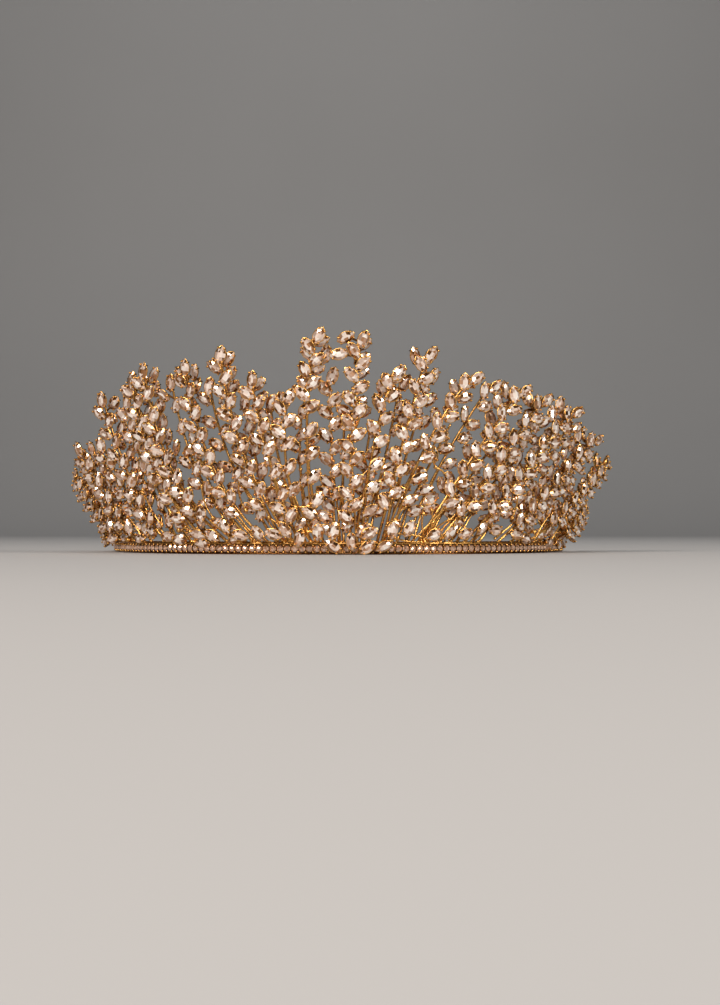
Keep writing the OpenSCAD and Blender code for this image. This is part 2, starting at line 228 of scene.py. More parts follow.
def unit(v):
    """Vectors along the last axis, each divided by its length."""
    return v / np.linalg.norm(v, axis=-1, keepdims=True)


def smooth(x):
    """3 x squared minus 2 x cubed, with x held between 0 and 1."""
    c = np.clip(x, 0, 1)
    return c * c * (3 - 2 * c)


def lean(deg):
    """Lean of the sprigs' wall: the front value, easing to the side value."""
    share = smooth((np.abs(deg) - LEAN_FROM) / LEAN_OVER)
    return np.radians(FRONT_LEAN + (SIDE_LEAN - FRONT_LEAN) * share)


def radial(deg):
    """Unit vector from the axis out to an angle round the band."""
    a = np.radians(deg)
    return np.stack([np.sin(a), -np.cos(a), np.zeros_like(a)], -1)


def outward(deg):
    """Normal of the leaning wall: the radial way times cos lean, minus sin lean upwards."""
    tilt = lean(deg)[..., None]
    return np.cos(tilt) * radial(deg) - np.sin(tilt) * UP


def up_wall(deg):
    """Way straight up the leaning wall: the radial way times sin lean, plus cos lean upwards."""
    tilt = lean(deg)[..., None]
    return np.sin(tilt) * radial(deg) + np.cos(tilt) * UP


def on_wall(deg, z, out):
    """Point of the cone whose radius grows with z times tan lean, moved out along its normal."""
    deg, z, out = np.broadcast_arrays(*(np.asarray(v, float) for v in (deg, z, out)))
    reach = (BAND_R + z * np.tan(lean(deg)))[..., None]
    return reach * radial(deg) + z[..., None] * UP + out[..., None] * outward(deg)


def curve(a, p, b, t):
    """Quadratic curve from a at 0 to b at 1, drawn towards p."""
    return (1 - t) ** 2 * a + 2 * t * (1 - t) * p + t * t * b


def bend(a, m, b, t):
    """Quadratic curve through a at 0, m at one half and b at 1."""
    return curve(a, 2 * m - (a + b) / 2, b, t)


def wire_deg(s, t):
    """Angle round the band at a share of a sprig's wire."""
    return np.asarray(bend(s.foot_deg, s.mid_deg, s.tip_deg, t))


def wire_at(s, t, out, back=0.0):
    """Place on a sprig's wire: its bend on the wall, stepped out at the tip, back behind the
    front row, and in to the rail at the foot."""
    t = np.asarray(t, float)
    deg, z = wire_deg(s, t), bend(FOOT_Z, s.mid_z, s.tip_z, t)
    p = on_wall(deg, z, out + s.proud * t * t - back * smooth(t / REAR_SHARE))
    inset = BAND_H * np.tan(lean(deg)) * (1 - smooth(t / FOOT_SHARE))
    return p - inset[..., None] * radial(deg)


@functools.cache
def wire_lengths(s):
    """Lengths along a wire up to even steps of its parameter, summed from chords."""
    p = wire_at(s, np.linspace(0, 1, WIRE_STEPS), STEM_OUT)
    return np.concatenate([[0], np.cumsum(np.linalg.norm(np.diff(p, axis=0), axis=1))])


def share_at(s, along):
    """Share of a wire's parameter at a length along it."""
    return np.interp(along, wire_lengths(s), np.linspace(0, 1, WIRE_STEPS))


def wire_way(s, t):
    """Unit tangent of a wire, from a small step to either side."""
    before, after = np.maximum(0, t - WAY_STEP), np.minimum(1, t + WAY_STEP)
    return unit(wire_at(s, after, 0) - wire_at(s, before, 0))


def sprig_ways(s, t):
    """Way along a sprig's wire, and the way out that its stones face: the wall's normal with
    a share of the front's way that grows towards the sides, less its part along the wire."""
    deg, way = wire_deg(s, t), wire_way(s, t)
    share = FACE_FRONT * smooth((np.abs(deg) - FACE_FROM) / FACE_OVER)
    v = outward(deg) - share * np.array([0, 1.0, 0])
    return way, unit(v - (v @ way) * way)


def turned(out, way, turn):
    """A way turned by an angle about an outward way."""
    a = math.radians(turn)
    return math.cos(a) * way + math.sin(a) * unit(np.cross(way, out))


def wave(mark, rate):
    """Sine of a stone's mark times a rate, in degrees."""
    return math.sin(math.radians(mark * rate))


def placed(middle, out, way, foot, mark, play=1.0):
    """A stone's place: middle, long way, short way, out way and the foot of its stalk, with
    the small tilts of handwork as waves of its mark."""
    pitch = math.radians(play * PITCH_PLAY * wave(mark, PITCH_RATE))
    roll = math.radians(play * ROLL_PLAY * wave(mark, ROLL_RATE))
    long = math.cos(pitch) * way + math.sin(pitch) * out
    flat = unit(np.cross(out, way))
    short = unit(math.cos(roll) * flat + math.sin(roll) * np.cross(long, flat))
    return np.array([middle, long, short, np.cross(long, short), foot])


def leaf(s, along, turn, aside, mark, drop, back, foot_back, play=1.0):
    """The place of a stone at a length along a sprig's wire: turned from the wire, moved
    aside and out from it, with its stalk's foot some way down the wire."""
    t = share_at(s, along)
    way, out = sprig_ways(s, t)
    centre = wire_at(s, t, STEM_OUT, back) + (GIRDLE_OUT - STEM_OUT) * out
    middle = centre + aside * unit(np.cross(way, out))
    foot = wire_at(s, share_at(s, along - drop), STEM_OUT, foot_back)
    return placed(middle, out, turned(out, way, turn), foot, mark, play)


def leaves(s, back=0.0, lower=0.0):
    """The stones of one sprig, from its tip down, on alternate sides of the wire. With a
    lower stretch given, it has only the stones that follow below the others."""
    top = wire_lengths(s)[-1] - STONE_L / 2
    count = int((top - s.bare) // LEAF_PITCH) + 1
    more = int((top - s.bare + lower) // LEAF_PITCH) + 1
    found = []
    for k in range(count, more) if lower else range(count):
        side = 1 if k % 2 == 0 else -1
        mark = s.foot_deg + LEAF_MARK * k
        turn, aside = side * LEAF_DEG + TURN_PLAY * wave(mark, TURN_RATE), side * LEAF_OFF
        if k == 0:
            turn, aside = TIP_TURN, LEAF_OFF * TIP_OFF
        found.append(leaf(s, top - k * LEAF_PITCH, turn, aside, mark, LEAF_DROP, back, back))
    return found


def side_leaves(s, offset, foot_back):
    """Places for more stones in the rear row beside one wire, at closer steps and with the
    given distance from it to either side, where their settings clear the ground."""
    alongs = np.arange(wire_lengths(s)[-1] - FILL_TOP, FILL_FOOT, -FILL_PITCH)
    found = []
    for k, along in enumerate(alongs):
        mark = s.foot_deg + FILL_MARK * k
        turn = FILL_DEG + FILL_PLAY * wave(mark, FILL_RATE)
        for side in (1, -1):
            place = leaf(s, along, side * turn, side * offset, mark, FILL_DROP, REAR_STEP,
                         foot_back, SIDE_PLAY)
            if place[0, 2] > np.abs(place[1:4, 2]) @ SETTING_REACH:
                found.append(place)
    return found


def single(deg, z, turn, out, foot_deg, foot_z, foot_out):
    """One stone that stands by itself on the wall, with its stalk's foot on a wire or the rail."""
    deg = np.asarray(float(deg))
    normal = outward(deg)
    way = turned(normal, up_wall(deg), turn)
    foot = on_wall(foot_deg, foot_z, foot_out)
    return placed(on_wall(deg, z, out), normal, way, foot, float(deg))


def gaps_to(place, others):
    """Smallest room between the discs that stand for a stone and those of the others."""
    a = place[0] + DISCS[:, :1] * place[1]
    b = others[:, 0, None] + DISCS[None, :, :1] * others[:, 1, None]
    far = np.linalg.norm(a[None, :, None] - b[:, None], axis=-1)
    return (far - DISCS[None, :, None, 1] - DISCS[None, None, :, 1]).min(axis=(1, 2))


def thinned(found, kept=(), every=True, least=STONE_ROOM):
    """Leaves off each stone whose place an earlier one already fills. With every, as in the
    solids, the stones that were left off count as earlier ones too."""
    earlier = np.array([*kept, *found])
    count = len(kept)
    result = []
    for place in found:
        near = np.linalg.norm(earlier[:count, 0] - place[0], axis=1) < STONE_L + least
        room = gaps_to(place, earlier[:count][near]).min(initial=1.0)
        if room > least:
            result.append(place)
        if room > least or every:
            earlier[count] = place
            count += 1
    return result


def clear(found):
    """Those stones whose middles stand in no opening, each an ellipse widened by the room
    that a stone needs."""
    x, y, z = np.array(found)[:, 0].T
    middles = np.stack([np.degrees(np.arctan2(x, -y)), z], -1)
    share = (middles[:, None] - CLEARINGS[:, :2]) / (CLEARINGS[:, 2:] + CLEAR_ROOM)
    inside = (np.hypot(share[..., 0], share[..., 1]) < 1).any(axis=1)
    return [place for place, hidden in zip(found, inside) if not hidden]


@functools.cache
def stone_places():
    """Places of the front stones, as the solids have them, and of all the others: single
    ones, those below the front sprigs' own, the rear sprigs', and those beside the wires."""
    front = []
    for deg, z, turn in CLUSTER:
        foot_z = min(z, CLUSTER_HIGH)
        front.append(single(deg, z, turn, CLUSTER_OUT, deg, foot_z, CLUSTER_FOOT))
    front = thinned(sum((leaves(s) for s in FRONT_SPRIGS), front))
    alone = [single(*row, STEM_OUT) for row in SINGLE_STONES]
    rear = sum((leaves(s, lower=LOWER_LEAVES) for s in FRONT_SPRIGS), [])
    rear = sum((leaves(s, REAR_STEP) for s in REAR_SPRIGS), rear)
    rear = thinned(alone + clear(rear), front, every=False)
    beside = []
    for offset in FILL_OFFS:
        for s in REAR_SPRIGS:
            beside += side_leaves(s, offset, REAR_STEP)
        for s in FRONT_SPRIGS:
            beside += side_leaves(s, offset, 0.0)
    rear += thinned(clear(beside), front + rear, every=False, least=FILL_ROOM)
    return np.array(front), np.array(rear)


def sprig_paths():
    """Paths of the sprigs' wires, the front row first, and of the second wires, which leave
    each one's foot a little to its side and join it farther up."""
    share = np.linspace(0, 1, PATH_STEPS)
    firsts, seconds = [], []
    for sprigs, back in ((FRONT_SPRIGS, 0.0), (REAR_SPRIGS, REAR_STEP)):
        for k, s in enumerate(sprigs):
            end = wire_lengths(s)[-1] - STONE_L / 2 + STEM_OVER
            firsts.append(wire_at(s, share_at(s, share * end), STEM_OUT, back))
            t = share_at(s, share * SECOND_SHARE * end)
            across = unit(np.cross(wire_way(s, t), outward(wire_deg(s, t))))
            aside = SECOND_OFF * (1 - smooth(share)) * (1 if k % 2 else -1)
            seconds.append(wire_at(s, t, STEM_OUT, back) + aside[:, None] * across)
    return np.array(firsts), np.array(seconds)


def cross_paths():
    """Paths of the crossing wires: even steps from end to end on the wall, moved across by
    the bow times 4 t (1 - t)."""
    deg_a, z_a, deg_b, z_b, bow = np.array(CROSS_WIRES, float).T[:, :, None]
    t = np.linspace(0, 1, CROSS_STEPS)
    deg = deg_a + (deg_b - deg_a) * t
    chord = on_wall(deg, z_a + (z_b - z_a) * t, STEM_OUT)
    across = unit(np.cross(unit(chord[:, -1:] - chord[:, :1]), outward(deg)))
    return chord + (4 * bow * t * (1 - t))[:, :, None] * across


# Mesh building: every part is a point array, a list of face arrays and the painted light of each
# point, from 0 for painted shade in the recesses to 1 for a painted highlight on the metal

def grid_faces(rows, cols, round_cols=True):
    """Quads of a grid of rows by cols points, closed round its columns if asked."""
    r = np.arange(rows - 1)[:, None]
    c = np.arange(cols if round_cols else cols - 1)[None, :]
    n = (c + 1) % cols
    quads = np.stack([r * cols + c, r * cols + n, (r + 1) * cols + n, (r + 1) * cols + c], -1)
    return quads.reshape(-1, 4)


def closed_faces(rows, cols):
    """Quads of a grid closed round its columns, and triangle fans over its first and last
    rows."""
    k = np.arange(1, cols - 1)
    first = np.stack([np.zeros_like(k), k + 1, k], -1)
    last = np.stack([np.zeros_like(k), k, k + 1], -1) + (rows - 1) * cols
    return [grid_faces(rows, cols), np.concatenate([first, last])]


def repeated(faces, count, size):
    """The face arrays of one shape for count shapes of size points each."""
    shift = (np.arange(count) * size)[:, None, None]
    return [(f + shift).reshape(-1, f.shape[1]) for f in faces]


def circle(count):
    """Cosines and sines of even steps round a circle."""
    a = np.linspace(0, 2 * np.pi, count, endpoint=False)
    return np.cos(a), np.sin(a)


def tubes(paths, radii, sides, painted_light):
    """Round wires along many paths at once: a circle of the given radius carried along each
    path, square to it."""
    count, steps = paths.shape[:2]
    way = unit(np.gradient(paths, axis=1))
    least = np.abs(paths[:, -1] - paths[:, 0]).argmin(axis=1)
    across = unit(np.cross(way, np.eye(3)[least][:, None]))
    level = np.cross(across, way)
    c, s = circle(sides)
    ring = c[:, None] * across[:, :, None] + s[:, None] * level[:, :, None]
    points = paths[:, :, None] + np.broadcast_to(radii, steps)[:, None, None] * ring
    points = points.reshape(-1, 3)
    faces = repeated([f[:, ::-1] for f in closed_faces(steps, sides)], count, steps * sides)
    return points, faces, np.full(len(points), painted_light)


def set_at(middles, axes):
    """Places from middles and the three axes of each, or of all."""
    return np.concatenate([middles[:, None], np.broadcast_to(axes, (len(middles), 3, 3))], axis=1)


def copies(shape, places):
    """A shape given as offsets along a place's three axes, set at each place."""
    points, faces, painted_light = shape
    p = places[:, None, 0] + np.einsum("vk,nkx->nvx", points, places[:, 1:4])
    faces = repeated(faces, len(places), len(points))
    return p.reshape(-1, 3), faces, np.tile(painted_light, len(places))


def joined(parts):
    """Several parts as one."""
    points, faces, painted_light, start = [], [], [], 0
    for p, groups, q in parts:
        points.append(p)
        painted_light.append(q)
        faces += [f + start for f in groups]
        start += len(p)
    return np.concatenate(points), faces, np.concatenate(painted_light)


def mesh_object(name, points, faces, smooth, material):
    """A mesh object at the origin, from an array of points in metres and a list of faces."""
    mesh = bpy.data.meshes.new(name)
    mesh.from_pydata(points.tolist(), [], faces)
    mesh.polygons.foreach_set("use_smooth", np.full(len(faces), smooth))
    mesh.materials.append(material)
    obj = bpy.data.objects.new(name, mesh)
    bpy.context.scene.collection.objects.link(obj)
    return obj


def piece(name, part, material, replaced=(), painted_facet_light=None):
    """A piece made of one part, riding on the frame's one body: smooth metal with its painted
    light, or facets with their painted highlights, reflections and shade. What would stand below
    the band's edge is filed flat there."""
    points, faces, painted_light = part
    points[:, 2] = np.maximum(points[:, 2], 0.0)
    listed = [f for group in faces for f in group.tolist()]
    obj = mesh_object(name, points * MM, listed, painted_facet_light is None, material)
    # Metal carries painted shade and highlight on its points; stones carry painted highlights,
    # reflections and shade on their facets.
    label, domain, values = ("painted_light", "POINT", painted_light) if painted_facet_light is None else ("painted_facet_light", "FACE", painted_facet_light)
    layer = obj.data.attributes.new(label, "FLOAT", domain)
    layer.data.foreach_set("value", values.astype(np.float32))
    obj.data.update()
    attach(obj, "root")
    if replaced:
        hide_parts(*replaced)


def marquise_outline():
    """Ten points round two equal arcs that meet in a point at each end of the stone."""
    span = math.asin(HALF_L / ARC_R)
    a = np.linspace(-span, span, 6)[:-1]
    side = np.stack([ARC_R * np.sin(a), ARC_R * np.cos(a) - (ARC_R - HALF_W)], -1)
    return np.concatenate([side, -side])


def marquise_stone():
    """A cut marquise: girdle of ten points on the outline's arcs, whose y is the root of
    R squared minus x squared, less R, plus the half width; a six-cornered table; crown
    facets between them; and pavilion facets down to a short keel."""
    shoulder, waist, girdle = 1.55, 0.55, 0.06
    table_end, table_side, ridge = 1.5, 0.62, 0.62
    keel, keel_z = 0.9, -PAVILION_H * 0.92
    side = [
        (x, math.sqrt(ARC_R ** 2 - x * x) - (ARC_R - HALF_W))
        for x in (shoulder, waist, -waist, -shoulder)
    ]
    rim = [(HALF_L, 0), *side, (-HALF_L, 0), *((x, -y) for x, y in side[::-1])]
    table = [
        (table_end, 0), (waist, table_side), (-waist, table_side),
        (-table_end, 0), (-waist, -table_side), (waist, -table_side),
    ]
    points = [(x, y, girdle) for x, y in rim] + [(x, y, -girdle) for x, y in rim]
    points += [(x, y, CROWN_H) for x, y in table]
    points += [(keel, 0, keel_z), (-keel, 0, keel_z)]
    points += [(ridge, 0, CROWN_H + TABLE_RISE), (-ridge, 0, CROWN_H + TABLE_RISE)]
    points = np.array(points) * STONE_SPREAD
    n = len(rim)
    t = 2 * n
    tri, quad = [], [[i, i + n, (i + 1) % n + n, (i + 1) % n] for i in range(n)]
    # Crown: rim points 0 to 9 to table points; tip facets are triangles, side facets alternate
    crown = [
        (0, 1, 0), (9, 0, 0), (1, 2, 1), (8, 9, 5), (3, 4, 2), (4, 5, 3), (5, 6, 3), (6, 7, 4),
    ]
    tri += [[a, b, t + c] for a, b, c in crown]
    tri += [[1, t + 1, t + 0], [9, t + 0, t + 5], [4, t + 3, t + 2], [6, t + 4, t + 3]]
    quad += [[2, 3, t + 2, t + 1], [7, 8, t + 5, t + 4]]
    # Pavilion: the girdle's lower points to the keel's two ends
    keel_a, keel_b = t + 6, t + 7
    for ends, keel_end in (((8, 9, 0, 1), keel_a), ((3, 4, 5, 6), keel_b)):
        tri += [[(i + 1) % n + n, i + n, keel_end] for i in ends]
    quad += [[3 + n, 2 + n, keel_a, keel_b], [8 + n, 7 + n, keel_b, keel_a]]
    # The table in patches round its ridge, which take shares of foil and painted light as the
    # other facets do
    right, left = t + 8, t + 9
    tri += [[t, t + 1, right], [t + 5, t, right], [t + 2, t + 3, left], [t + 3, t + 4, left]]
    quad += [[t + 1, t + 2, left, right], [t + 4, t + 5, right, left]]
    return points, [np.array(tri), np.array(quad)], np.zeros(len(points))


def round_stone(girdle_r):
    """A round stone: a girdle of eight points, a smaller eight-cornered table that rises to
    its middle, crown facets between them, and facets under the girdle down to a point."""
    table_share, table_z, table_rise, point_z = 0.55, 0.3, 0.15, -0.4
    k = np.arange(8)
    a = np.radians(k * 45 + 22.5)
    girdle = np.stack([np.cos(a), np.sin(a)], -1) * girdle_r
    points = np.concatenate([
        np.c_[girdle, np.zeros(8)], np.c_[girdle * table_share, np.full(8, table_z)],
        [[0, 0, point_z], [0, 0, table_z + table_rise]],
    ])
    n = (k + 1) % 8
    crown = np.concatenate([np.stack([k, n, k + 8], -1), np.stack([n, n + 8, k + 8], -1)])
    under = np.stack([n, k, np.full(8, 16)], -1)
    table = np.array([[8, 9, 10, 17], [10, 11, 12, 17], [12, 13, 14, 17], [14, 15, 8, 17]])
    return points, [np.concatenate([crown, under]), table], np.zeros(len(points))


def setting_shape():
    """An open marquise cup under the stone: the stone's outline drawn in from row to row."""
    outline = marquise_outline() * CUP_SPREAD
    # Columns: share of the outline, height, painted light, which is a painted highlight at the rim
    # and the bottom and painted shade under the lip
    rows = [
        (0.93, 0.0, 0.8),
        (1.06, 0.1, 1.0),
        (1.1, -0.08, 0.55),
        (0.8, -0.7, 0.8),
        (0.36, -1.05, 1.0),
    ]
    cols = len(outline)
    points = np.concatenate([np.c_[outline * k, np.full(cols, h)] for k, h, _ in rows])
    return points, closed_faces(len(rows), cols), np.repeat([painted_light for *_, painted_light in rows], cols)


def turned_shape(rows, sides):
    """A closed solid of revolution from (radius, height, painted light) rows, lowest first."""
    c, s = circle(sides)
    r, h, painted_light = np.array(rows, float).T[:, :, None]
    points = np.stack([r * c, r * s, h + 0 * c], -1).reshape(-1, 3)
    return points, closed_faces(len(rows), sides), np.repeat(painted_light[:, 0], sides)


def prong_shape(end, side):
    """One prong beside a tip of the stone, at the given end and side: a turned post that
    swells to a ball and leans in over the crown."""
    # Columns: radius, height, painted light, way out from the post's middle; the painted light is
    # painted shade at the post's foot and lighter up to the ball
    rows = np.array([
        (0.18, -0.5, 0.2, 0.06),
        (0.22, 0.0, 0.5, 0.06),
        (0.34, 0.26, 0.75, 0.0),
        (0.33, 0.54, 0.8, -0.06),
        (0.12, 0.7, 0.8, -0.1),
    ])
    sides, along, across = 5, 1.85, 0.95
    points, faces, painted_light = turned_shape(rows[:, :3], sides)
    out = np.repeat(rows[:, 3], sides)
    middle = np.stack([0 * out + end * along, side * (across + out), 0 * out], -1)
    return points + middle, faces, painted_light


def ball_shape(radius, rows, sides):
    """A ball as circles whose radius is the sine, and height the cosine, of the row's angle."""
    cap = 0.2
    b = np.linspace(np.pi - cap, cap, rows)
    # Every row takes a painted light of 1: a painted highlight all over the ball.
    table = np.stack([radius * np.sin(b), radius * np.cos(b), np.ones(rows)], -1)
    return turned_shape(table, sides)


def stalks(places):
    """A thin wire from each stone's foot to the underside of its setting: a quadratic curve
    whose middle point is drawn back from the line between them."""
    depth, draw, foot_share, end_share = 0.85, 0.5, 0.45, 0.55
    steps, foot_r, end_r = 5, 0.27, 0.36
    out = places[:, None, 3]
    end = places[:, None, 0] - depth * out
    foot = places[:, None, 4]
    knee = foot_share * foot + end_share * end - draw * out
    paths = curve(foot, knee, end, np.linspace(0, 1, steps)[None, :, None])
    # The stalks take a low painted light, which gives them painted shade.
    return tubes(paths, np.linspace(foot_r, end_r, steps), sides=5, painted_light=0.5)


def round_sweep(profile, painted_light, degs, heights=None, middle=0.0):
    """A closed profile of (radius, z) points carried round the band's axis. heights shrinks it
    towards its middle height at the ends."""
    heights = np.ones(len(degs)) if heights is None else heights
    z = middle + (profile[None, :, 1] - middle) * heights[:, None]
    a = np.radians(degs)[:, None]
    r = np.broadcast_to(profile[None, :, 0], z.shape)
    points = np.stack([r * np.sin(a), -r * np.cos(a), z], -1).reshape(-1, 3)
    rows, cols = len(degs), len(profile)
    ends = np.stack([np.arange(cols)[::-1], np.arange(cols) + (rows - 1) * cols])
    return points, [grid_faces(rows, cols), ends], np.tile(np.broadcast_to(painted_light, cols), rows)


def rounded_ends(half, height, step):
    """Angles from one end to the other, and the share of the height at each, so that the
    ends are half circles in side view."""
    run = math.degrees(height / 2 / BAND_R)
    ends = half + run * np.sin(np.linspace(0, np.pi / 2, 6))[::-1]
    middle = np.arange(-half, half + step / 2, step)
    degs = np.concatenate([-ends[:-1], middle, ends[:-1][::-1]])
    over = np.clip((np.abs(degs) - half) / run, 0, 0.995)
    return degs, np.sqrt(1 - over ** 2)


def rounded_section(corners, cut):
    """A closed profile whose corners are quadratic curves that start and end at the given
    cut from the corner."""
    p = np.asarray(corners, float)
    before, after = np.roll(p, 1, 0) - p, np.roll(p, -1, 0) - p
    shorter = np.minimum(np.linalg.norm(before, axis=1), np.linalg.norm(after, axis=1))
    k = np.minimum(cut, 0.4 * shorter)[:, None]
    u, v = p + k * unit(before), p + k * unit(after)
    t = np.linspace(0, 1, CORNER_STEPS)[:, None]
    return curve(u[:, None], p[:, None], v[:, None], t).reshape(-1, 2)


# Materials

def fill_sockets(node, values):
    """A node with values put on its own sockets, whose names have _ for each space."""
    for socket, value in values.items():
        name = socket.replace("_", " ").title().replace("Ior", "IOR")
        node.inputs[name].default_value = value
    return node


def principled(name, **values):
    """A node material whose shader's own sockets hold the given values."""
    material = bpy.data.materials.new(name)
    material.use_nodes = True
    tree = material.node_tree
    return material, tree, fill_sockets(tree.nodes["Principled BSDF"], values)


def add_node(tree, kind, **values):
    """A new node with the given values on its own sockets."""
    return fill_sockets(tree.nodes.new("ShaderNode" + kind), values)


def add_attribute(tree, name):
    """A node that reads one of the piece's attributes."""
    node = add_node(tree, "Attribute")
    node.attribute_name = name
    return node


def add_links(tree, *rows):
    """Joins for each row the first node's named output to the second's named input."""
    for node, output, other, name in rows:
        tree.links.new(node.outputs[output], other.inputs[name])


def add_ramp(tree, *stops):
    """A colour ramp with a stop at each (position, colour), the lowest first."""
    ramp = add_node(tree, "ValToRGB")
    elements = ramp.color_ramp.elements
    elements[0].position, elements[1].position = stops[0][0], stops[-1][0]
    for position, _ in stops[1:-1]:
        elements.new(position)
    for element, (_, color) in zip(elements, stops):
        element.color = (*color, 1)
    return ramp


def gold_material(look):
    """Gold plate: painted highlight where the painted light attribute is high and painted shade in
    the recesses, with fine waviness of the surface and roughness that differs from place to place."""
    material, tree, shader = principled(
        "tiara_gold", metallic=1.0, coat_weight=0.15, coat_roughness=0.12)
    coord = add_node(tree, "TexCoord")
    painted_light = add_attribute(tree, "painted_light")
    large = add_node(tree, "TexNoise", scale=260.0, detail=3.0)
    cast = add_node(tree, "MapRange", to_max=0.25)
    share = add_node(tree, "Math")
    share.operation = "MULTIPLY_ADD"
    share.inputs[1].default_value = 0.8
    # Ramp from painted shade in the recesses, through painted shade in the darker places, to the
    # gold's own colour.
    ramp = add_ramp(tree, (0.1, look.gold_painted_recess_shade), (0.45, look.gold_painted_shade), (0.9, look.gold))
    fine = add_node(tree, "TexNoise", scale=1400.0, detail=2.0)
    rough = add_node(tree, "MapRange", to_min=0.18, to_max=0.36)
    bump = add_node(tree, "Bump", strength=0.25, distance=0.0001)
    add_links(
        tree,
        (coord, "Object", large, "Vector"), (coord, "Object", fine, "Vector"),
        (painted_light, "Fac", share, 0), (large, "Fac", cast, "Value"),
        (cast, "Result", share, 2), (share, "Value", ramp, "Fac"),
        (ramp, "Color", shader, "Base Color"), (fine, "Fac", rough, "Value"),
        (rough, "Result", shader, "Roughness"), (fine, "Fac", bump, "Height"),
        (bump, "Normal", shader, "Normal"),
    )
    return material


def crystal_material(look):
    """Foil-backed crystal: each facet has its own share of foil and its own painted light, from
    painted shade through a painted reflection of the gilt and the stone's faint tint to a painted
    highlight, under a hard clear coat."""
    material, tree, shader = principled(
        "tiara_crystal", metallic=0.0, roughness=0.04, ior=1.9, coat_weight=1.0,
        coat_roughness=0.02)
    painted_facet_light = add_attribute(tree, "painted_facet_light")
    # Ramp of painted light: painted shade, a painted reflection of the gilt setting, the stone's
    # faint tint as lit, and a painted highlight.
    ramp = add_ramp(
        tree, (0.0, look.crystal_painted_shade), (0.3, look.crystal_painted_gilt_reflection), (0.62, look.crystal_tint_and_painted_light),
        (1.0, look.crystal))
    foil = add_node(tree, "MapRange", to_min=0.9, to_max=0.15)
    add_links(
        tree,
        (painted_facet_light, "Fac", ramp, "Fac"), (painted_facet_light, "Fac", foil, "Value"),
        (foil, "Result", shader, "Metallic"), (ramp, "Color", shader, "Base Color"),
    )
    return material


def stage_material():
    """Matte pale paper with a trace of unevenness."""
    material, tree, shader = principled("stage_paper", roughness=0.7)
    coord = add_node(tree, "TexCoord")
    noise = add_node(tree, "TexNoise", scale=3.0)
    ramp = add_ramp(tree, (0.0, (0.40, 0.40, 0.40)), (1.0, (0.44, 0.44, 0.44)))
    add_links(
        tree,
        (coord, "Object", noise, "Vector"), (noise, "Fac", ramp, "Fac"),
        (ramp, "Color", shader, "Base Color"),
    )
    return material


def facet_painted_lights(shape, count, seed):
    """A share of painted light, which also sets the share of foil, for each facet of count copies
    of a
    stone, drawn evenly: from the upper part of the range for a table's facets, as their painted
    highlights, and from the lower part for the others, whose colour is a painted reflection of the
    gilt setting or painted shade."""
    points, faces, _ = shape
    level = points[:, 2].max() - TABLE_DEPTH
    flat_on_top = [(points[f][:, :, 2] > level).all(axis=1) for f in faces]
    table = np.concatenate([np.tile(top, count) for top in flat_on_top])
    low, top = np.where(table, TABLE_LOW, CROWN_LOW), np.where(table, 1.0, CROWN_HIGH)
    return np.random.default_rng(seed).uniform(low, top)


def swatch(name, description, default):
    """A colour for the panel, whose parts run from 0 to 1."""
    return bpy.props.FloatVectorProperty(
        name=name, description=description, subtype="COLOR", min=0, max=1, default=default)


def length(name, description, low, high, default):
    """A length for the panel, which holds it in metres, from millimetres."""
    return bpy.props.FloatProperty(
        name=name, description=description, unit="LENGTH", precision=5, min=low * MM,
        max=high * MM, default=default * MM)


class TiaraLook(bpy.types.PropertyGroup):
    """Colours of the metal and of the stones' facets, with the metal's painted shade and the
    facets' painted highlights, reflections and shade
    """
    # The gold is the metal's own colour; the two after it are painted shade, in the metal's darker
    # places and, darker still, in its recesses.
    gold: swatch("Gold", "Colour of the metal where it is polished", (0.90, 0.50, 0.14))
    gold_painted_shade: swatch(
        "Deep gold", "Colour of the metal in its darker places", (0.165, 0.064, 0.015))
    gold_painted_recess_shade: swatch("Gold recess", "Colour of the metal's recesses", (0.035, 0.013, 0.006))
    # The stones' facet colours are painted light: a painted highlight, the stone's faint tint as
    # lit, a painted reflection of the gilt setting and painted shade.
    crystal: swatch("Crystal", "Colour of a stone's brightest facets", (1.0, 0.95, 0.89))
    crystal_tint_and_painted_light: swatch(
        "Crystal tint", "Colour of a stone's middling facets", (0.95, 0.755, 0.64))
    crystal_painted_gilt_reflection: swatch(
        "Crystal gold", "Colour of the facets that show the gilt foil", (0.50, 0.21, 0.06))
    crystal_painted_shade: swatch(
        "Crystal shade", "Colour of a stone's darkest facets", (0.05, 0.024, 0.016))


class TiaraSizes(bpy.types.PropertyGroup):
    """Sizes of the wires and of the band's round stones"""
    wire_d: length("Wire", "Thickness of the sprigs' wires", 0.5, 1.0, STEM_D)
    round_stone_d: length("Round stone", "Width of the band's round stones", 1.0, 2.0, 1.95)
    round_pitch: length(
        "Round stone pitch", "Distance between the band's round stones", 1.2, 2.5, 2.05)


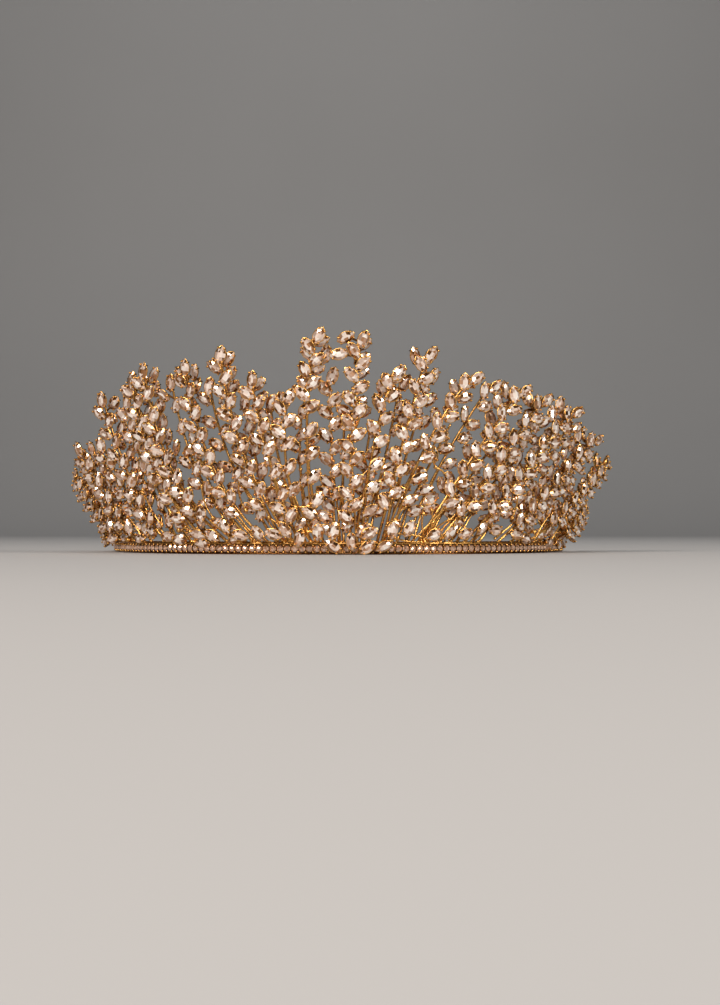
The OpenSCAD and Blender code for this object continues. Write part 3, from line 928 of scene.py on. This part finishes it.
class TIARA_OT_band(bpy.types.Operator):
    """Make the band with its rims and channel, the strips and the rail"""
    bl_idname = "tiara.band"
    bl_label = "Band"

    def execute(self, context):
        inner, outer, floor = BAND_R - BAND_T, BAND_R, BAND_R - CHANNEL
        lower, upper = LOWER_RIM, BAND_H - UPPER_RIM
        # Columns: radius, height and painted light of each corner of the band's section: painted
        # shade in the channel and darker towards the bottom, lighter at the top
        corners = np.array([
            (inner, 0, 0.6), (inner, BAND_H, 0.6), (outer, BAND_H, 0.65), (outer, upper, 0.65),
            (floor, upper, 0.4), (floor, lower, 0.4), (outer, lower, 0.32), (outer, 0, 0.25),
        ])
        section = rounded_section(corners[:, :2], BAND_CUT)
        degs, heights = rounded_ends(BAND_HALF, BAND_H, step=1.0)
        painted_light = np.repeat(corners[:, 2], CORNER_STEPS)
        band = round_sweep(section, painted_light, degs, heights, BAND_H / 2)

        middle = BAND_R - BAND_T / 2
        near, far = middle - STRIP_T / 2, middle + STRIP_T / 2
        strip = rounded_section([(near, 0), (near, STRIP_H), (far, STRIP_H), (far, 0)], STRIP_CUT)
        step = 1.5
        degs, heights = rounded_ends(STRIP_HALF, STRIP_H, step)
        # The strips and the rail each take one even painted light.
        strips = [
            round_sweep(strip, 0.7, degs[k], heights[k], STRIP_H / 2)
            for k in (degs < step - BAND_HALF, degs > BAND_HALF - step)
        ]

        c, s = circle(10)
        rail = np.stack([middle - RAIL_D / 2 * c, RAIL_Z + RAIL_D / 2 * s], -1)
        rail = round_sweep(rail, 0.55, np.arange(-BAND_HALF, BAND_HALF + 0.5, 1.0))
        part = joined([band, *strips, rail])
        piece("band", part, gold_material(context.scene.tiara_look), ["frame"])
        return {"FINISHED"}


class TIARA_OT_wires(bpy.types.Operator):
    """Make the wires of the sprigs, with the solder at their feet"""
    bl_idname = "tiara.wires"
    bl_label = "Sprig wires"

    def execute(self, context):
        wire_r = context.scene.tiara_sizes.wire_d / MM / 2
        firsts, seconds = sprig_paths()
        crossing = cross_paths()
        thinning = 1 - TAPER * np.linspace(0, 1, firsts.shape[1])
        # The wires' painted light: middling on the main wires, lighter on the second and crossing
        # wires.
        wires = [
            tubes(firsts, wire_r * thinning, sides=8, painted_light=0.75),
            tubes(seconds[:, ::3], SECOND_R, sides=6, painted_light=0.85),
            tubes(crossing, CROSS_R, sides=6, painted_light=0.9),
        ]
        first_lift, second_lift = 0.25, 0.1
        beads = np.concatenate([
            firsts[:, 0] + first_lift * UP, seconds[:, 0] + second_lift * UP, seconds[:, -1],
            crossing[:, 0], crossing[:, -1],
        ])
        rng = np.random.default_rng(7)
        size = rng.uniform(*SOLDER_SIZE, len(beads))
        stretch = rng.uniform(*SOLDER_STRETCH, (len(beads), 3, 1))
        axes = size[:, None, None] * np.eye(3)[None] * stretch
        solder = copies(ball_shape(1.0, rows=5, sides=7), set_at(beads, axes))
        part = joined([*wires, solder])
        piece("sprig_wires", part, bpy.data.materials["tiara_gold"], ["frame"])
        return {"FINISHED"}


class TIARA_OT_settings(bpy.types.Operator):
    """Make the settings of the marquise stones, with their prongs and stalks"""
    bl_idname = "tiara.settings"
    bl_label = "Settings"

    def execute(self, context):
        gold = bpy.data.materials["tiara_gold"]
        for name, places, replaced in zip(
                ("front_settings", "rear_settings"), stone_places(), (["frame"], [])):
            corners = (1, 1), (1, -1), (-1, 1), (-1, -1)
            prongs = [copies(prong_shape(*corner), places) for corner in corners]
            part = joined([copies(setting_shape(), places), stalks(places), *prongs])
            piece(name, part, gold, replaced)
        return {"FINISHED"}


class TIARA_OT_stones(bpy.types.Operator):
    """Make the marquise stones"""
    bl_idname = "tiara.stones"
    bl_label = "Marquise stones"

    def execute(self, context):
        crystal = crystal_material(context.scene.tiara_look)
        stone = marquise_stone()
        for name, places, replaced, seed in zip(
                ("front_stones", "rear_stones"), stone_places(), (["stones"], []), (3, 4)):
            # Each facet gets its painted highlight, painted reflection or painted shade.
            painted_facet_light = facet_painted_lights(stone, len(places), seed)
            piece(name, copies(stone, places), crystal, replaced, painted_facet_light)
        return {"FINISHED"}


class TIARA_OT_round_stones(bpy.types.Operator):
    """Make the row of round stones in the band's channel, with the beads that hold them"""
    bl_idname = "tiara.round_stones"
    bl_label = "Round stones"

    def execute(self, context):
        sizes = context.scene.tiara_sizes
        step = math.degrees(sizes.round_pitch / MM / BAND_R)
        margin, sunk = 0.5, 0.05
        count = int(2 * (BAND_HALF - margin) / step)
        degs = (np.arange(count) - (count - 1) / 2) * step
        lower, upper = LOWER_RIM, BAND_H - UPPER_RIM
        girdle_r = BAND_R - sunk
        a = np.radians(degs)
        round_band = np.stack([np.cos(a), np.sin(a), np.zeros(count)], -1)
        axes = np.stack([round_band, np.broadcast_to(UP, (count, 3)), radial(degs)], 1)
        places = set_at(girdle_r * radial(degs) + (lower + upper) / 2 * UP, axes)
        stone = round_stone(sizes.round_stone_d / MM / 2)
        # The round stones' facets take painted light from a narrower, darker range.
        painted_facet_light = ROUND_LOW + ROUND_RANGE * facet_painted_lights(stone, count, 5)
        crystal = bpy.data.materials["tiara_crystal"]
        piece("round_stones", copies(stone, places), crystal, painted_facet_light=painted_facet_light)

        bead_r, bead_in, bead_out = 0.3, 0.22, 0.12
        between = (degs[1:] + degs[:-1]) / 2
        bead = ball_shape(bead_r, rows=4, sides=6)
        beads = [
            copies(bead, set_at((girdle_r + bead_out) * radial(between) + z * UP, np.eye(3)))
            for z in (lower + bead_in, upper - bead_in)
        ]
        piece("round_stone_beads", joined(beads), bpy.data.materials["tiara_gold"])
        return {"FINISHED"}


class TIARA_OT_stage(bpy.types.Operator):
    """Make the pale floor and backdrop, the studio lights and the camera"""
    bl_idname = "tiara.stage"
    bl_label = "Stage"

    def execute(self, context):
        scene = context.scene
        # Side view in metres: a floor, a quarter circle up from it and a wall
        near, bend_y, bend_r, top, half = -1.5, 1.1, 0.5, 2.5, 3.0
        b = np.linspace(0, np.pi / 2, 12)
        quarter = np.stack([bend_y + bend_r * np.sin(b), bend_r - bend_r * np.cos(b)], -1)
        run = np.concatenate([[(near, 0)], quarter, [(bend_y + bend_r, top)]])
        across = np.array([-half, half])
        points = np.stack(np.broadcast_arrays(across, run[:, :1], run[:, 1:]), -1).reshape(-1, 3)
        faces = grid_faces(len(run), 2, False).tolist()
        backdrop = mesh_object("backdrop", points, faces, True, stage_material())

        world = bpy.data.worlds.new("studio")
        world.use_nodes = True
        fill_sockets(
            world.node_tree.nodes["Background"], {"color": (0.9, 0.93, 1.0, 1), "strength": 0.04})
        scene.world = world

        # Columns: name, place, what it shines at, size, power, colour
        tiara, wall = (0, 0, 0.03), (0, 1.4, 0.6)
        lamps = [
            ("key_light", (-0.55, -0.75, 0.65), tiara, 0.36, 9.3, (1.0, 0.89, 0.81)),
            ("fill_light", (0.75, -0.6, 0.4), tiara, 0.30, 5.4, (1.0, 0.95, 0.88)),
            ("top_light", (0.0, 0.1, 0.9), tiara, 0.6, 1.2, (1.0, 1.0, 1.0)),
            ("front_light", (0.05, -0.9, 0.25), tiara, 0.20, 1.7, (1.0, 0.95, 0.89)),
            ("wall_light", (0.0, 0.6, 1.4), wall, 1.0, 4.5, (1.0, 1.0, 1.0)),
        ]
        for name, at, aim, size, power, color in lamps:
            data = bpy.data.lights.new(name, "AREA")
            data.size, data.energy, data.color = size, power, color
            lamp = bpy.data.objects.new(name, data)
            lamp.location = at
            x, y, z = np.subtract(at, aim)
            lamp.rotation_euler = (math.atan2(math.hypot(x, y), z), 0, math.atan2(x, -y))
            scene.collection.objects.link(lamp)

        lens = bpy.data.cameras.new("camera")
        lens.sensor_width = lens.sensor_height = 36.0
        lens.lens = FOCAL_PX / HEIGHT_PX * lens.sensor_height
        lens.clip_start, lens.clip_end = 0.01, 20.0
        camera = bpy.data.objects.new("camera", lens)
        camera.location = CAMERA_AT
        aside, raised = math.atan2(ASIDE_PX, FOCAL_PX), math.atan2(RAISE_PX, FOCAL_PX)
        camera.rotation_euler = (math.pi / 2 + raised, 0, -aside)
        scene.collection.objects.link(camera)
        scene.camera = camera
        scene.view_settings.view_transform = "Standard"
        return {"FINISHED"}


class TIARA_PT_panel(bpy.types.Panel):
    """Sizes and colours of the tiara, and its pieces"""
    bl_idname = "TIARA_PT_panel"
    bl_label = "Sprig tiara"
    bl_space_type = "VIEW_3D"
    bl_region_type = "UI"
    bl_category = "Tiara"

    def draw(self, context):
        for group in (context.scene.tiara_sizes, context.scene.tiara_look):
            box = self.layout.box()
            for name in group.__annotations__:
                box.prop(group, name)
        for operator in OPERATORS:
            self.layout.operator(operator.bl_idname)


OPERATORS = (
    TIARA_OT_stage, TIARA_OT_band, TIARA_OT_wires, TIARA_OT_settings, TIARA_OT_stones,
    TIARA_OT_round_stones,
)
CLASSES = (TiaraLook, TiaraSizes, *OPERATORS, TIARA_PT_panel)


def register():
    for cls in CLASSES:
        bpy.utils.register_class(cls)
    bpy.types.Scene.tiara_look = bpy.props.PointerProperty(type=TiaraLook)
    bpy.types.Scene.tiara_sizes = bpy.props.PointerProperty(type=TiaraSizes)


def unregister():
    del bpy.types.Scene.tiara_sizes
    del bpy.types.Scene.tiara_look
    for cls in reversed(CLASSES):
        bpy.utils.unregister_class(cls)


def main():
    """Register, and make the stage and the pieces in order."""
    register()
    bpy.ops.tiara.stage()
    bpy.ops.tiara.band()
    bpy.ops.tiara.wires()
    bpy.ops.tiara.settings()
    bpy.ops.tiara.stones()
    bpy.ops.tiara.round_stones()


if __name__ == "__main__":
    main()
